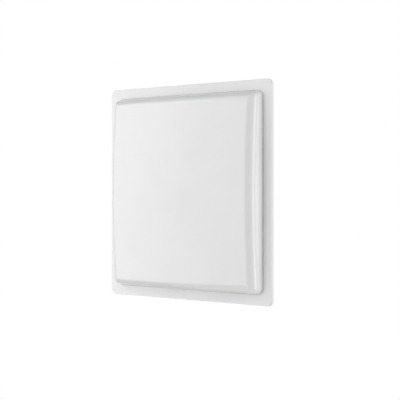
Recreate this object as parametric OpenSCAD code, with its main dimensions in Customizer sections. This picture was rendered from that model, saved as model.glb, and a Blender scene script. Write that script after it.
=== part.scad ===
// Flat UHF antenna panel of a store's security gate: a white moulded radome with a crowned
// dome, closed behind by an aluminium ground plate that carries the radiator, its feed
// board, the coaxial jack and four mounting studs.
//
// Frame: millimetres, +Z up, the dome faces -Y. The origin is the centre of the stud
// pattern, on the rear face of the ground plate. Depths are counted from that face:
// positive depth runs forwards (-Y), negative depth runs out of the back (+Y).

/* [Panel] */
// Width and height of the square panel
panel_w = 259; // [220:1:320]
// Corner radius of the panel's outline
panel_corner_r = 7; // [5:0.5:12]
// Thickness of the ground plate
plate_t = 2; // [1.8:0.1:3]
// Thickness of the edge gasket once it is clamped
gasket_t = 0.6; // [0.4:0.1:1.2]
// Width of the edge gasket
gasket_w = 9; // [6:0.5:10]

/* [Radome] */
// Width of the flat flange all round the dome
flange_w = 13; // [12.5:0.5:20]
// Thickness of the flange's skin
flange_t = 1.6; // [1.4:0.1:3]
// Thickness of the lip that covers the plate's edge
lip_t = 2; // [1.5:0.1:2.5]
// Thickness of the dome's wall
wall_t = 2; // [1.6:0.1:2.5]
// Height of the dome's middle above the flange
dome_h = 24; // [20:0.5:40]
// How far the face falls from the middle to the middle of a side
dome_crown = 5.5; // [2:0.5:6]
// Corner radius of the dome's foot, seen from the front
dome_corner_r = 7; // [5:0.5:20]
// Radius of the soft ridge between wall and face
dome_fillet_r = 12; // [9:0.5:13]
// Lean of the dome's wall
dome_draft = 5; // [2:1:10]
// Width of the narrow groove in the flange round the dome's foot
groove_w = 1; // [0.5:0.1:2]
// Depth of that groove
groove_depth = 0.8; // [0.4:0.1:1]

/* [Fixings] */
// Distance between the mounting studs, both ways
stud_pitch = 100; // [75:1:120]
// Diameter of the mounting studs
stud_d = 6; // [5:1:8]
// Length of the studs behind the plate
stud_l = 18; // [16:1:40]
// Diameter of the screws that hold the radome
radome_screw_d = 2.9; // [2.5:0.1:3.2]
// Length of the screws that hold the radome
radome_screw_l = 11; // [8:1:12]
// Diameter of the small machine screws and their nuts
machine_screw_d = 3; // [2.5:0.5:3]

/* [Radiator] */
// Width of the square radiating patch
patch_w = 148; // [120:1:156]
// Thickness of the radiating patch
patch_t = 1.2; // [0.8:0.1:2]
// Air gap between the ground plate and the patch
patch_gap = 12; // [11.5:0.5:13]
// Distance of each feed probe from the patch's centre
probe_offset = 36; // [32:0.5:38]
// Diameter of the feed probes
probe_d = 2; // [1.5:0.1:2.5]
// Diameter of the centre post
post_d = 8; // [7:0.5:10]

/* [Feed board] */
// Width of the square feed board
board_w = 90; // [86:1:100]
// Thickness of the feed board
board_t = 1.6; // [1:0.1:2]
// Length of the standoffs under the board
standoff_l = 5; // [4.5:0.1:5.5]
// Width of the coupler's ring, line centre to line centre
coupler_w = 45; // [40:1:48]

/* [Coaxial jack] */
// Outside diameter of the jack's thread
jack_thread_d = 15.88; // [12:0.01:16]
// Width of the jack's square flange
jack_flange_w = 25.4; // [25:0.1:28]
// Distance between the flange's screws, both ways
jack_hole_pitch = 18.26; // [18:0.01:20]
// Distance from the plate's rear face to the jack's mouth
jack_l = 16; // [14:0.5:20]

/* [Hidden] */
$fn = 64;

// Colours
radome_white = [0.93, 0.93, 0.92];
plate_metal = [0.77, 0.78, 0.79];
rubber_black = [0.08, 0.08, 0.08];
steel = [0.66, 0.67, 0.68];
brass = [0.80, 0.66, 0.36];
nickel = [0.74, 0.73, 0.69];
copper = [0.80, 0.48, 0.30];
board_green = [0.12, 0.36, 0.20];
nylon = [0.90, 0.89, 0.84];
solder_grey = [0.70, 0.71, 0.73];

// Clearances: round parts in their holes, and flat parts beside each other
round_gap = 0.05;
side_gap = 0.3;

// Outline sizes, as half widths
half_w = panel_w / 2;
dome_half = half_w - flange_w;
pocket_half = half_w - lip_t;
plate_half = pocket_half - side_gap;
edge_round = 0.6;
lip_recess = 0.2;

// Depths of the stack, from the plate's rear face forwards
gasket_at = plate_t;
skin_at = plate_t + gasket_t;
flange_at = skin_at + flange_t;
board_at = plate_t + standoff_l;
trace_at = board_at + board_t;
trace_t = 0.1;
patch_at = plate_t + patch_gap;
patch_top = patch_at + patch_t;

// Grid of the radome's surface
arc_steps = 6;
side_steps = 8;
fillet_steps = 8;
face_rings = 5;
min_corner_r = 1.2;

// Bosses behind the ridge, and the screws in them
boss_r = 3;
boss_sink = 1.5;
boss_at = dome_half - dome_fillet_r + 1;
boss_step = boss_at * 0.76;
boss_bore_l = radome_screw_l - plate_t + 1;
screw_head_d = radome_screw_d * 1.9;

// Small fixings
stud_head_d = stud_d * 1.5;
stud_head_t = 1.4;
stud_collar_d = stud_d + 1;
pan_head_d = machine_screw_d * 1.85;
pan_head_t = machine_screw_d * 0.68;
nut_t = machine_screw_d * 0.8;
nut_d = machine_screw_d * 2.12;
washer_d = machine_screw_d * 2.1;
washer_t = 0.5;
standoff_d = machine_screw_d * 1.95;
board_hole_at = min(board_w / 2 - 5, stud_pitch / 2 - 10);
board_screw_l = board_t + standoff_l - 1;

// Centre post, its screw and washer
post_screw_d = 4;
post_washer_d = 9;
post_washer_t = 0.8;
post_foot_d = post_d - 2;
post_bore_l = 9;
post_screw_l = 8;

// Nylon spacers on adhesive pads
spacer_at = patch_w / 2 - 12;
spacer_d = 7;
spacer_foot_d = 16;
spacer_foot_t = 1.5;
spacer_neck_d = 4;
spacer_head_d = 5.2;
spacer_head_l = 2;
pad_t = 0.8;

// Coupler lines and the resistor on its spare port
line_w = 3;
wide_line_w = 5;
pad_d = 5;
ring_at = coupler_w / 2;
resistor_size = [3.2, 0.6, 6.4];
resistor_at = [-probe_offset, ring_at - 8];
solder_h = 0.8;
solder_foot_d = 2;
solder_tip_d = 0.6;

// Jack: it stands under the feed board's input, below the centre
jack_z = -probe_offset;
jack_gasket_t = 0.5;
jack_flange_t = 2.8;
jack_flange_corner_r = 2;
jack_neck_d = jack_thread_d - 2;
jack_neck_l = 2;
jack_chamfer = 0.6;
jack_socket_d = 8.1;
jack_socket_l = 9.1;
jack_bead_d = 7;
jack_pilot_d = 11;
jack_pilot_l = plate_t - 0.5;
jack_bead_end = plate_t + 1;
contact_d = 3.04;
contact_recess = 5.3;
contact_bore_d = 1.66;
contact_bore_l = 3.6;
contact_slot_w = 0.3;
contact_core_d = 3;
contact_pin_d = 1.3;
contact_pin_end = trace_at + trace_t + solder_h + 0.2;
jack_screw_l = 9;

// Vent and label on the rear
vent_at = [dome_half * 0.6, -dome_half * 0.7];
vent_d = 3;
vent_disc_d = 12;
vent_disc_t = 0.3;
label_size = [80, 40];
label_t = 0.15;
label_z = dome_half * 0.68;

// ---- Frame helpers -------------------------------------------------------------------

// Stands a child drawn along +Z up so that it points forwards from a depth, at [x, z]
module forwards(depth = 0, at = [0, 0]) {
    translate([at.x, -depth, at.y]) rotate([90, 0, 0]) children();
}

// The same, but the child points out of the back
module backwards(depth = 0, at = [0, 0]) {
    translate([at.x, -depth, at.y]) rotate([-90, 0, 0]) children();
}

// A round bar between two depths, with an optional second diameter at its front end
module bar(d, from, to, at = [0, 0], front_d = undef) {
    forwards(from, at)
        cylinder(d1 = d, d2 = is_undef(front_d) ? d : front_d, h = to - from);
}

// A round hole that runs a little past both depths
module hole(d, from, to, at = [0, 0]) {
    bar(d, from - 1, to + 1, at);
}

// A square slab with round corners between two depths
module slab(half, r, from, to, at = [0, 0]) {
    forwards(from, at) linear_extrude(to - from) rounded_square(half, r);
}

module rounded_square(half, r) {
    union() {
        square([2 * half, 2 * (half - r)], center = true);
        square([2 * (half - r), 2 * half], center = true);
        for (sx = [-1, 1], sz = [-1, 1]) translate([sx, sz] * (half - r)) circle(r);
    }
}

// The four corners of a square pattern
function corners(half) = [for (sx = [-1, 1], sz = [-1, 1]) [sx, sz] * half];

// The ends of a plus sign
function cross_ends(reach) = [[reach, 0], [-reach, 0], [0, reach], [0, -reach]];

// ---- Radome --------------------------------------------------------------------------

// Points of a rounded square, anticlockwise seen from the front, with every ring alike
function ring(half, r) = [for (q = [0:3])
    let (c = (half - r) * quadrant(q), next = (half - r) * quadrant(q + 1),
         turn = [cos(90 * q + 90), sin(90 * q + 90)])
    each concat(
        [for (k = [0:arc_steps]) let (a = 90 * (q + k / arc_steps)) c + r * [cos(a), sin(a)]],
        [for (k = [1:side_steps - 1]) c + r * turn + (next - c) * k / side_steps])];

function quadrant(q) = [q % 4 == 0 || q % 4 == 3 ? 1 : -1, q % 4 < 2 ? 1 : -1];

// A ring at one depth
function flat_ring(half, r, depth) = [for (p = ring(half, r)) [p.x, -depth, p.y]];

// Height of the crowned face above the flange at a point of the face
function crown(p) = dome_h - dome_crown * (p * p) / (dome_half * dome_half);

// Inset of the wall's top edge, from its lean over the mean height
function wall_run(fillet_r) =
    tan(dome_draft) * (dome_h - 1.5 * dome_crown - fillet_r * (1 - sin(dome_draft)));

// Rings of one dome surface, from the wall's foot to the middle of the face: the wall
// leans in, a fillet turns it over, and the face closes on the centre
function dome_rings(foot_half, corner_r, fillet_r, sink) = let (
    run = wall_run(fillet_r),
    wall = [for (w = [0.5, 1]) [run * w, w, fillet_r * (1 - sin(dome_draft)), 1]],
    fillet = [for (k = [1:fillet_steps])
        let (a = dome_draft + (90 - dome_draft) * k / fillet_steps)
        [run + fillet_r * (cos(dome_draft) - cos(a)), 1, fillet_r * (1 - sin(a)), 1]],
    last = run + fillet_r * cos(dome_draft),
    face = [for (k = [1:face_rings]) [last, 1, 0, 1 - k / (face_rings + 0.5)]])
    [for (s = concat(wall, fillet, face)) let (inset = s[0], share = s[1], drop = s[2])
        [for (p = s[3] * ring(foot_half - inset, max(corner_r - inset, min_corner_r)))
            [p.x, -(flange_at - sink + share * (crown(p) - drop)), p.y]]];

// Triangles between rings of equal count, with a point at each end
function skin_faces(rings, n) = concat(
    [for (j = [0:n - 1]) [0, 1 + j, 1 + (j + 1) % n]],
    [for (i = [0:rings - 2], j = [0:n - 1]) let (a = 1 + i * n + j, b = 1 + i * n + (j + 1) % n)
        each [[a, a + n, b + n], [a, b + n, b]]],
    [for (j = [0:n - 1]) let (base = 1 + (rings - 1) * n)
        [1 + rings * n, base + (j + 1) % n, base + j]]);

function reversed(list) = [for (i = [len(list) - 1:-1:0]) list[i]];

module radome_shell() {
    inner = concat(
        [flat_ring(pocket_half, panel_corner_r - lip_t, lip_recess),
         flat_ring(pocket_half, panel_corner_r - lip_t, skin_at),
         flat_ring(dome_half - wall_t, dome_corner_r - wall_t, skin_at)],
        dome_rings(dome_half - wall_t, dome_corner_r - wall_t, dome_fillet_r - wall_t, wall_t));
    outer = concat(
        [flat_ring(half_w, panel_corner_r, lip_recess),
         flat_ring(half_w, panel_corner_r, flange_at - edge_round),
         flat_ring(half_w - edge_round * 0.3, panel_corner_r - edge_round * 0.3,
             flange_at - edge_round * 0.3),
         flat_ring(half_w - edge_round, panel_corner_r - edge_round, flange_at),
         flat_ring(dome_half + groove_w, dome_corner_r + groove_w, flange_at),
         flat_ring(dome_half + groove_w, dome_corner_r + groove_w, flange_at - groove_depth),
         flat_ring(dome_half, dome_corner_r, flange_at - groove_depth),
         flat_ring(dome_half, dome_corner_r, flange_at)],
        dome_rings(dome_half, dome_corner_r, dome_fillet_r, 0));
    rings = concat(reversed(inner), outer);
    peak = flange_at + dome_h;
    points = concat([[0, -(peak - wall_t), 0]], [for (r = rings) each r], [[0, -peak, 0]]);
    polyhedron(points, skin_faces(len(rings), len(rings[0])));
}

// Places of the twelve screws: three along each side, behind the ridge
function radome_screw_places() = [for (q = [0:3], s = [-boss_step, 0, boss_step])
    [s * cos(90 * q) - boss_at * sin(90 * q), s * sin(90 * q) + boss_at * cos(90 * q)]];

module radome() {
    color(radome_white) difference() {
        union() {
            radome_shell();
            for (p = radome_screw_places())
                bar(2 * boss_r, plate_t, flange_at + crown(p) - boss_sink, p);
        }
        for (p = radome_screw_places())
            bar(radome_screw_d, plate_t - 1, plate_t + boss_bore_l, p);
    }
}

// ---- Ground plate and its seal -------------------------------------------------------

module back_plate() {
    color(plate_metal) difference() {
        slab(plate_half, panel_corner_r - lip_t - side_gap, 0, plate_t);
        for (p = radome_screw_places()) {
            hole(radome_screw_d + 4 * round_gap, 0, plate_t, p);
            bar(screw_head_d + 4 * round_gap, -1, 0, p);
            bar(screw_head_d + 4 * round_gap, -0.001, screw_cone_l(), p,
                radome_screw_d + 4 * round_gap);
        }
        for (p = corners(stud_pitch / 2)) hole(stud_collar_d + 2 * round_gap, 0, plate_t, p);
        hole(post_foot_d + 2 * round_gap, 0, plate_t);
        hole(jack_pilot_d + 4 * round_gap, 0, plate_t, [0, jack_z]);
        for (p = jack_screw_places()) hole(machine_screw_d + 4 * round_gap, 0, plate_t, p);
        hole(vent_d, 0, plate_t, vent_at);
    }
}

module edge_gasket() {
    outer = pocket_half - side_gap;
    outer_r = panel_corner_r - lip_t - side_gap;
    color(rubber_black) difference() {
        slab(outer, outer_r, gasket_at, skin_at);
        slab(outer - gasket_w, outer_r, gasket_at - 1, skin_at + 1);
    }
}

// ---- Screws, studs and nuts ----------------------------------------------------------

// A countersunk head is as deep as it widens over the shank
function screw_cone_l() = (screw_head_d - radome_screw_d) / 2;

// Cross-shaped recess cut both ways from a head's face
module cross_recess(size, depth, face, at) {
    for (turn = [0, 90])
        translate([at.x, -face, at.y]) rotate([0, turn, 0])
            cube([size, 2 * depth, size / 4.5], center = true);
}

module radome_screws() {
    color(steel) for (p = radome_screw_places()) difference() {
        union() {
            bar(screw_head_d, 0, screw_cone_l(), p, radome_screw_d - 2 * round_gap);
            bar(radome_screw_d - 2 * round_gap, screw_cone_l() - 0.01, radome_screw_l, p);
        }
        cross_recess(screw_head_d * 0.55, 0.8, 0, p);
    }
}

// Each stud is clinched from inside: a head, a collar in the plate's hole, and the free end
module mounting_studs() {
    color(steel) for (p = corners(stud_pitch / 2)) union() {
        bar(stud_d, -stud_l, 0, p);
        bar(stud_collar_d, 0, plate_t, p);
        bar(stud_head_d, plate_t, plate_t + stud_head_t, p);
    }
}

// A pan-head screw that points forwards (dir 1) or backwards (dir -1) from its seat
module pan_screw(d, head_d, head_t, l, seat, at, dir) {
    head_out = seat - dir * head_t;
    tip = seat + dir * l;
    difference() {
        union() {
            bar(head_d, min(seat, head_out), max(seat, head_out), at);
            bar(d, min(seat - dir * head_t / 2, tip), max(seat - dir * head_t / 2, tip), at);
        }
        cross_recess(head_d * 0.6, head_t * 0.45, head_out, at);
    }
}

// ---- Radiator ------------------------------------------------------------------------

module centre_post() {
    color(brass) difference() {
        union() {
            bar(post_foot_d, 0, plate_t);
            bar(post_d, plate_t, patch_at);
        }
        bar(post_screw_d + 2 * round_gap, patch_at - post_bore_l, patch_at + 1);
    }
}

module post_washer() {
    color(steel) difference() {
        bar(post_washer_d, patch_top, patch_top + post_washer_t);
        hole(post_screw_d + 6 * round_gap, patch_top, patch_top + post_washer_t);
    }
}

module post_screw() {
    color(steel) pan_screw(post_screw_d, post_screw_d * 1.9, post_screw_d * 0.6, post_screw_l,
        patch_top + post_washer_t, [0, 0], -1);
}

module radiating_patch() {
    color(plate_metal) difference() {
        slab(patch_w / 2, 3, patch_at, patch_top);
        hole(post_screw_d + 6 * round_gap, patch_at, patch_top);
        for (p = probe_places()) hole(probe_d + 2 * round_gap, patch_at, patch_top, p);
        for (p = cross_ends(spacer_at)) hole(spacer_neck_d + 2 * round_gap, patch_at, patch_top, p);
    }
}

module patch_spacers() {
    foot_at = plate_t + pad_t;
    color(nylon) for (p = cross_ends(spacer_at)) union() {
        bar(spacer_foot_d, foot_at, foot_at + spacer_foot_t, p);
        bar(spacer_d, foot_at + spacer_foot_t, patch_at, p);
        bar(spacer_neck_d, patch_at, patch_top, p);
        bar(spacer_head_d, patch_top, patch_top + spacer_head_l, p, spacer_neck_d * 0.7);
    }
}

module spacer_pads() {
    color(rubber_black) for (p = cross_ends(spacer_at))
        bar(spacer_foot_d, plate_t, plate_t + pad_t, p);
}

// ---- Feed board ----------------------------------------------------------------------

// The two probes, a quarter turn apart, for a circular wave
function probe_places() = [[probe_offset, 0], [0, probe_offset]];

module feed_board() {
    color(board_green) difference() {
        slab(board_w / 2, 2, board_at, trace_at);
        hole(post_d + 1, board_at, trace_at);
        for (p = probe_places()) hole(probe_d + 2 * round_gap, board_at, trace_at, p);
        hole(contact_pin_d + 2 * round_gap, board_at, trace_at, [0, jack_z]);
        for (p = corners(board_hole_at)) hole(machine_screw_d + 4 * round_gap, board_at, trace_at, p);
    }
}

// A straight line of copper between two points that share x or z
module trace(a, b, w) {
    mid = (a + b) / 2;
    square_to = [abs(a.x - b.x) + w, abs(a.y - b.y) + w];
    forwards(trace_at, mid) linear_extrude(trace_t) square(square_to, center = true);
}

module feed_traces() {
    r = ring_at;
    p = probe_offset;
    color(copper) difference() {
        union() {
            for (s = [-1, 1]) {
                trace([-r, s * r], [r, s * r], wide_line_w);
                trace([s * r, -r], [s * r, r], line_w);
            }
            trace([r, -r], [p, -r], line_w);
            trace([p, -r], [p, 0], line_w);
            trace([r, r], [r, p], line_w);
            trace([r, p], [0, p], line_w);
            trace([-r, -r], [-r, -p], line_w);
            trace([-r, -p], [0, -p], line_w);
            trace([-r, r], [-p, r], line_w);
            trace([-p, r], [-p, resistor_at.y], line_w);
            for (c = concat(probe_places(), [[0, -p]]))
                bar(pad_d, trace_at, trace_at + trace_t, c);
        }
        for (c = probe_places()) hole(probe_d + 2 * round_gap, trace_at, trace_at + trace_t, c);
        hole(contact_pin_d + 2 * round_gap, trace_at, trace_at + trace_t, [0, -p]);
    }
}

module board_standoffs() {
    color(brass) for (p = corners(board_hole_at)) difference() {
        bar(standoff_d, plate_t, board_at, p);
        bar(machine_screw_d + 2 * round_gap, plate_t + 0.5, board_at + 1, p);
    }
}

module board_screws() {
    color(steel) for (p = corners(board_hole_at))
        pan_screw(machine_screw_d, pan_head_d, pan_head_t, board_screw_l, trace_at, p, -1);
}

module feed_probes() {
    color(brass) for (p = probe_places())
        bar(probe_d, board_at - 0.8, patch_top + solder_h, p);
}

// A cone of solder round a pin, standing on a depth
module solder_cone(pin_d, from, at) {
    difference() {
        bar(pin_d + solder_foot_d, from, from + solder_h, at, pin_d + solder_tip_d);
        hole(pin_d + 2 * round_gap, from, from + solder_h, at);
    }
}

module solder_joints() {
    top = trace_at + trace_t;
    color(solder_grey) {
        for (p = probe_places()) {
            solder_cone(probe_d, top, p);
            solder_cone(probe_d, patch_top, p);
        }
        solder_cone(contact_pin_d, top, [0, jack_z]);
    }
}

module load_resistor() {
    color(rubber_black)
        translate([resistor_at.x, -(trace_at + trace_t + resistor_size.y / 2),
            resistor_at.y - resistor_size.z / 2])
            cube(resistor_size, center = true);
}

// ---- Coaxial jack --------------------------------------------------------------------

function jack_screw_places() = [for (c = corners(jack_hole_pitch / 2)) c + [0, jack_z]];

module jack_shell() {
    at = [0, jack_z];
    seat = -jack_gasket_t;
    flange_end = seat - jack_flange_t;
    thread_end = flange_end - jack_neck_l;
    socket_end = -jack_l + jack_socket_l;
    color(nickel) difference() {
        union() {
            slab(jack_flange_w / 2, jack_flange_corner_r, flange_end, seat, at);
            bar(jack_pilot_d, seat, jack_pilot_l, at);
            bar(jack_neck_d, thread_end, flange_end, at);
            bar(jack_thread_d, -jack_l + jack_chamfer, thread_end, at);
            bar(jack_thread_d - 2 * jack_chamfer, -jack_l, -jack_l + jack_chamfer, at,
                jack_thread_d);
        }
        bar(jack_socket_d, -jack_l - 1, socket_end, at);
        bar(jack_bead_d, socket_end - 0.5, jack_pilot_l + 1, at);
        for (p = jack_screw_places())
            hole(machine_screw_d + 4 * round_gap, flange_end, seat, p);
    }
}

module jack_insulator() {
    at = [0, jack_z];
    color(nylon) difference() {
        bar(jack_bead_d - 2 * round_gap, -jack_l + jack_socket_l, jack_bead_end, at);
        hole(contact_core_d + 2 * round_gap, -jack_l + jack_socket_l, jack_bead_end, at);
    }
}

module jack_contact() {
    at = [0, jack_z];
    tip = -jack_l + contact_recess;
    shoulder = -jack_l + jack_socket_l;
    color(brass) difference() {
        union() {
            bar(contact_d, tip, shoulder, at);
            bar(contact_core_d, shoulder, jack_bead_end, at);
            bar(contact_pin_d, jack_bead_end, contact_pin_end, at);
        }
        bar(contact_bore_d, tip - 1, tip + contact_bore_l, at);
        for (turn = [0, 90])
            translate([0, -(tip + contact_bore_l / 2 - 0.5), jack_z]) rotate([0, turn, 0])
                cube([contact_d + 1, contact_bore_l, contact_slot_w], center = true);
    }
}

module jack_gasket() {
    at = [0, jack_z];
    color(rubber_black) difference() {
        slab(jack_flange_w / 2, jack_flange_corner_r, -jack_gasket_t, 0, at);
        hole(jack_pilot_d + 4 * round_gap, -jack_gasket_t, 0, at);
        for (p = jack_screw_places()) hole(machine_screw_d + 4 * round_gap, -jack_gasket_t, 0, p);
    }
}

module jack_screws() {
    color(steel) for (p = jack_screw_places())
        pan_screw(machine_screw_d, pan_head_d, pan_head_t, jack_screw_l,
            -jack_gasket_t - jack_flange_t, p, 1);
}

module jack_washers() {
    color(steel) for (p = jack_screw_places()) difference() {
        bar(washer_d, plate_t, plate_t + washer_t, p);
        hole(machine_screw_d + 4 * round_gap, plate_t, plate_t + washer_t, p);
    }
}

module jack_nuts() {
    from = plate_t + washer_t;
    color(steel) for (p = jack_screw_places()) difference() {
        forwards(from, p) cylinder(d = nut_d, h = nut_t, $fn = 6);
        hole(machine_screw_d + 2 * round_gap, from, from + nut_t, p);
    }
}

// ---- Vent and label ------------------------------------------------------------------

module vent_membrane() {
    color(nylon) bar(vent_disc_d, plate_t, plate_t + vent_disc_t, vent_at);
}

module rating_label() {
    color(nylon) forwards(-label_t, [0, label_z]) linear_extrude(label_t)
        square(label_size, center = true);
}

// ---- Nodes ---------------------------------------------------------------------------

radome();
back_plate();
edge_gasket();
radome_screws();
mounting_studs();
centre_post();
post_washer();
post_screw();
radiating_patch();
patch_spacers();
spacer_pads();
feed_board();
feed_traces();
board_standoffs();
board_screws();
feed_probes();
solder_joints();
load_resistor();
jack_shell();
jack_insulator();
jack_contact();
jack_gasket();
jack_screws();
jack_nuts();
jack_washers();
vent_membrane();
rating_label();
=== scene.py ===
# %% [markdown]
# # A flat white antenna panel from a store's security gate
#
# The object is a square reader antenna. A white moulded radome, which is a cover that radio
# waves pass through, closes over an aluminium ground plate. The plate carries four threaded
# studs, a coaxial jack and a blank label on the back, and the radiator and its feed board
# inside. The measured CAD model comes first and stays where it is. What it draws plainly,
# such as the radome's facets and the smooth shanks that stand for threads, is replaced here
# by finer surfaces of the same size.

# %% Load the measured model
import math

import bpy
import numpy as np
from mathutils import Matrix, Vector
from mathutils.geometry import tessellate_polygon


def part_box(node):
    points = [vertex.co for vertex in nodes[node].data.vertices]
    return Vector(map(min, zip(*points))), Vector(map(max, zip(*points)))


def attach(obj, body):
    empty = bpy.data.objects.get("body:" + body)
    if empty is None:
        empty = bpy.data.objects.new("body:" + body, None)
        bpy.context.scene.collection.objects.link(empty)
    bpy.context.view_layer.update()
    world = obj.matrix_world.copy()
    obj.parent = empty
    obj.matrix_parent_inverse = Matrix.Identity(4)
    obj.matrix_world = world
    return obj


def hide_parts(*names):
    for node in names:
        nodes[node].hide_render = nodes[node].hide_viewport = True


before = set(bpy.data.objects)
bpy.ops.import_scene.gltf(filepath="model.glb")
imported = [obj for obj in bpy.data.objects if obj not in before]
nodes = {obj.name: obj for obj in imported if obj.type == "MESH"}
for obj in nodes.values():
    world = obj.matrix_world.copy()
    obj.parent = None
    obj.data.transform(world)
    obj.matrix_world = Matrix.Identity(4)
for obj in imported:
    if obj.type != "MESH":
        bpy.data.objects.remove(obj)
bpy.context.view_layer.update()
MM = 0.001
print("CAD nodes:", len(nodes))

# %% [markdown]
# ## Sizes
#
# Depth is counted from the plate's rear face, forwards, so a depth of 4 mm is y = -4 mm.
# The box of each CAD node gives most sizes. The few that a box can't give, such as the
# radius of a ridge, are named here with the values that the design uses.

# %% Sizes of the panel
radome_lo, radome_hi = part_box("radome")
PANEL_HALF = radome_hi.x
PEAK_DEPTH = -radome_lo.y
LIP_DEPTH = -radome_hi.y
PANEL_CORNER = 7 * MM
FLANGE_W = 13 * MM
FLANGE_T = 1.6 * MM
WALL_T = 2 * MM
LIP_T = 2 * MM
SKIN_DEPTH = -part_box("edge_gasket")[0].y
FLANGE_DEPTH = SKIN_DEPTH + FLANGE_T
DOME_HALF = PANEL_HALF - FLANGE_W
DOME_H = PEAK_DEPTH - FLANGE_DEPTH
DOME_CROWN = 5.5 * MM
DOME_CORNER = 7 * MM
DOME_FILLET = 12 * MM
DOME_DRAFT = math.radians(5)
GROOVE_W = 1 * MM
GROOVE_D = 0.8 * MM
print("panel", round(2 * PANEL_HALF / MM, 1), "mm wide, dome", round(DOME_H / MM, 1), "mm high")

# %% [markdown]
# ## From a grid of points to a mesh
#
# Nearly every piece is a surface with two parameters: one goes round, the other goes along.
# Its points fill a grid, worked out as one numpy array. The grid could be joined by hand
# with loops, but array sums give all the faces at once. A turned or moulded piece closes on
# one point at each end. A ring, such as a solder fillet, closes on itself instead.

# %% Faces of a grid
def closed_skin(grid):
    """Vertices, quads and triangles of a tube whose two ends are closed on one point each.
    grid has the shape (rows, points round, 3); each row is a closed ring."""
    rows, n, _ = grid.shape
    verts = np.vstack([grid[0].mean(0), grid.reshape(-1, 3), grid[-1].mean(0)])
    here = 1 + np.arange(n)
    beside = 1 + (np.arange(n) + 1) % n
    steps = n * np.arange(rows - 1)[:, None]
    quads = np.stack([here + steps, beside + steps, beside + steps + n, here + steps + n], -1)
    last = (rows - 1) * n
    start = np.stack([np.zeros(n, int), beside, here], -1)
    end = np.stack([np.full(n, rows * n + 1), here + last, beside + last], -1)
    return verts, quads.reshape(-1, 4), np.vstack([start, end])


def ring_tube(grid):
    """Vertices and quads of a ring: a grid that closes both round and along, with no ends."""
    rows, n, _ = grid.shape
    row, col = np.meshgrid(np.arange(rows), np.arange(n), indexing="ij")
    up, right = (row + 1) % rows, (col + 1) % n
    quads = np.stack([row * n + col, row * n + right, up * n + right, up * n + col], -1)
    return grid.reshape(-1, 3), quads.reshape(-1, 4), np.zeros((0, 3), int)


print("2 rings of 8 points close with", len(closed_skin(np.zeros((2, 8, 3)))[1]), "quads")

# %% [markdown]
# ## From faces to an object
#
# A solid's signed volume tells whether its faces point outwards, so a solid that came out
# inside out is turned round. Normals could also be recalculated in Blender's edit mode, but
# the sum needs no mode and no guess. Each object sits at the origin with its place in its
# mesh, as the CAD nodes do, so patterns and later exports agree on where it is.

# %% Solids and pieces
def outward(part):
    """The part with its faces turned outwards: six times the volume is the sum of
    a . (b x c) over the triangles, and it is negative if the part is inside out."""
    verts, quads, tris = part
    every = np.vstack([quads[:, [0, 1, 2]], quads[:, [0, 2, 3]], tris])
    a, b, c = verts[every[:, 0]], verts[every[:, 1]], verts[every[:, 2]]
    if np.einsum("ij,ij->i", a, np.cross(b, c)).sum() < 0:
        return verts, quads[:, ::-1], tris[:, ::-1]
    return part


def make_piece(name, parts, material, replaces=(), sharp=35):
    """One object at the origin from several closed parts, smooth but for edges sharper
    than an angle in degrees. It rides on the body and hides the CAD nodes that it replaces."""
    verts, faces, first = [], [], 0
    for part_verts, quads, tris in map(outward, parts):
        verts.append(part_verts)
        faces += (quads + first).tolist() + (tris + first).tolist()
        first += len(part_verts)
    mesh = bpy.data.meshes.new(name)
    mesh.from_pydata(np.vstack(verts), [], faces)
    mesh.polygons.foreach_set("use_smooth", np.ones(len(faces), bool))
    mesh.set_sharp_from_angle(angle=math.radians(sharp))
    mesh.materials.append(material)
    piece = bpy.data.objects.new(name, mesh)
    bpy.context.scene.collection.objects.link(piece)
    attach(piece, "root")
    if replaces:
        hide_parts(*replaces)
    print(name, len(parts), "parts,", len(faces), "faces")
    return piece


# %% [markdown]
# ## Shared surface effects
#
# Real surfaces differ by small things: the faint grain a mould leaves, the lines that a
# brush leaves in metal, and the dust and finger marks that gather with use. Each effect is
# a node group with named sockets, built once and placed in every material that needs it,
# with that material's own values. The groups put out masks and normals only; each material
# keeps its own Principled shader.

# %% Node group helpers
def new_group(name, inputs, outputs):
    """A shader node group. inputs is {name: default}, outputs is {name: socket type}."""
    group = bpy.data.node_groups.new(name, "ShaderNodeTree")
    for label, default in inputs.items():
        socket = group.interface.new_socket(label, in_out="INPUT", socket_type="NodeSocketFloat")
        socket.default_value = default
    for label, kind in outputs.items():
        group.interface.new_socket(label, in_out="OUTPUT", socket_type=kind)
    return group, group.nodes.new("NodeGroupInput"), group.nodes.new("NodeGroupOutput")


def node(tree, kind, **values):
    """Adds a node; a value whose name is a socket of the node sets that socket."""
    made = tree.nodes.new(kind)
    for key, value in values.items():
        label = key.replace("_", " ")
        if label in made.inputs:
            made.inputs[label].default_value = value
        else:
            setattr(made, key, value)
    return made


# %% [markdown]
# ### The grain of a mould
#
# A moulded cover is never perfectly smooth. The tool's texture leaves a fine grain, and the
# skin sinks and swells slightly as it cools. An image could hold both, but two noises, one
# fine and one slow, give them at any distance and cost nothing to place.

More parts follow.
